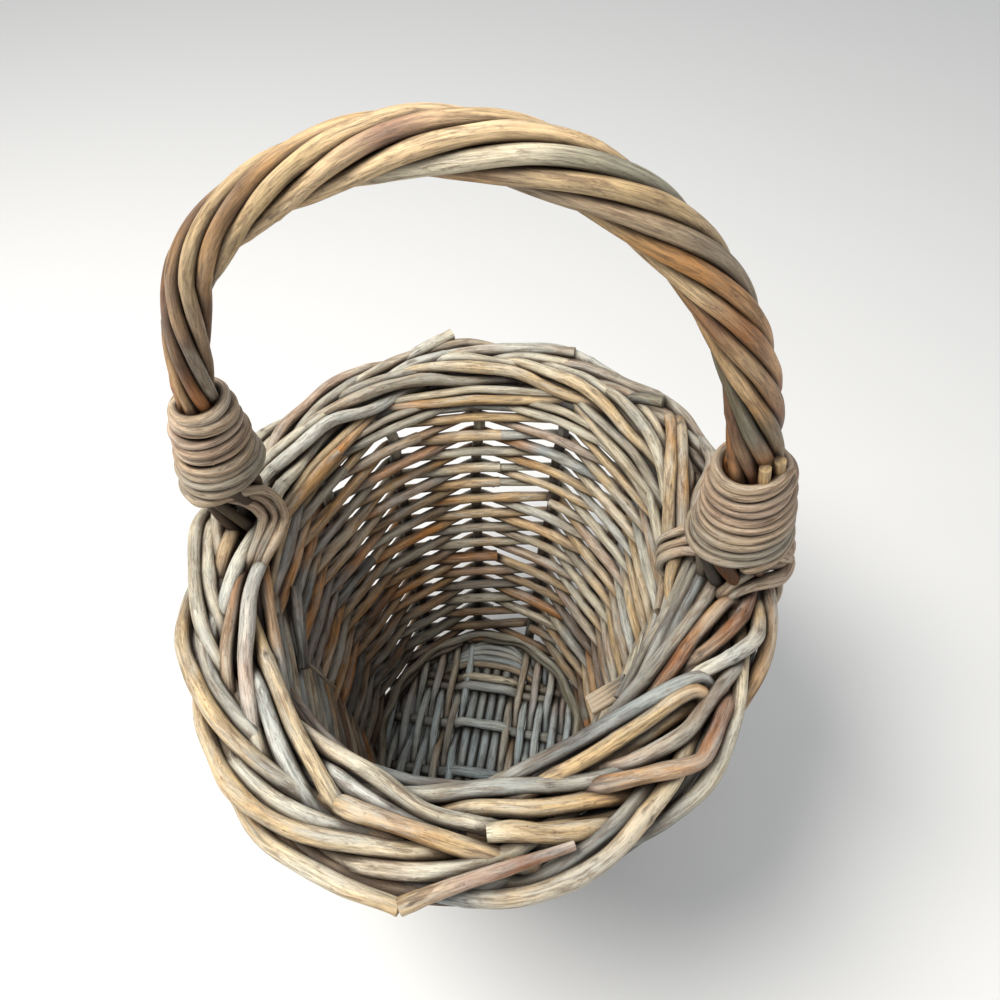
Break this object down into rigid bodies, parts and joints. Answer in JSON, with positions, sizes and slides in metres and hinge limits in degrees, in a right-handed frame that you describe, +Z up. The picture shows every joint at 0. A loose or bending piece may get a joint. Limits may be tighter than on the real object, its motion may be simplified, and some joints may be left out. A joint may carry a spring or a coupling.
{
  "type": "gathering basket",
  "caption": "Oval willow gathering basket with an open randed wall, a wide plaited border and a fixed arched handle of twisted rods bound with cane.",
  "frame": {"origin": "on the ground, under the middle of the basket's outline", "axes": "+Z up through the top of the handle, X across the basket in the plane of the handle, -Y the front that the picture shows"},
  "size_m": [0.2662, 0.3028, 0.4087],
  "materials": {
    "stake_willow": "weathered bark",
    "border_willow": "weathered bark",
    "weaver_willow": "grey weathered",
    "foot_willow": "grey weathered",
    "stick_willow": "weathered bark",
    "base_willow": "grey weathered",
    "handle_willow": "weathered bark",
    "cane": "dull split cane",
    "peg_wood": "cut wood"
  },
  "bodies": {
    "root": {"stake_01": "stake_willow", "stake_02": "stake_willow", "stake_03": "stake_willow", "stake_04": "stake_willow", "stake_05": "stake_willow", "stake_06": "stake_willow", "stake_07": "stake_willow", "stake_08": "stake_willow", "stake_09": "stake_willow", "stake_10": "stake_willow", "stake_11": "stake_willow", "stake_12": "stake_willow", "stake_13": "stake_willow", "border_rod_01": "border_willow", "border_rod_02": "border_willow", "border_rod_03": "border_willow", "border_rod_04": "border_willow", "border_rod_05": "border_willow", "border_rod_06": "border_willow", "border_rod_07": "border_willow", "border_rod_08": "border_willow", "border_rod_09": "border_willow", "border_rod_10": "border_willow", "border_rod_11": "border_willow", "border_rod_12": "border_willow", "border_rod_13": "border_willow", "upsett_weave": "weaver_willow", "side_weave_1": "weaver_willow", "side_weave_2": "weaver_willow", "side_weave_3": "weaver_willow", "foot_ring": "foot_willow", "base_long_stick_1": "stick_willow", "base_long_stick_2": "stick_willow", "base_long_stick_3": "stick_willow", "base_long_stick_4": "stick_willow", "base_cross_stick_1": "stick_willow", "base_cross_stick_2": "stick_willow", "base_cross_stick_3": "stick_willow", "base_cross_stick_4": "stick_willow", "base_fill_left": "base_willow", "base_fill_right": "base_willow", "handle_rod_1": "handle_willow", "handle_rod_2": "handle_willow", "handle_rod_3": "handle_willow", "handle_rod_4": "handle_willow", "handle_rod_5": "handle_willow", "handle_rod_6": "handle_willow", "handle_rod_7": "handle_willow", "handle_bow": "handle_willow", "left_binding": "cane", "left_tie": "cane", "right_binding": "cane", "right_tie": "cane", "right_peg_1": "peg_wood", "right_peg_2": "peg_wood"}
  },
  "joints": []
}
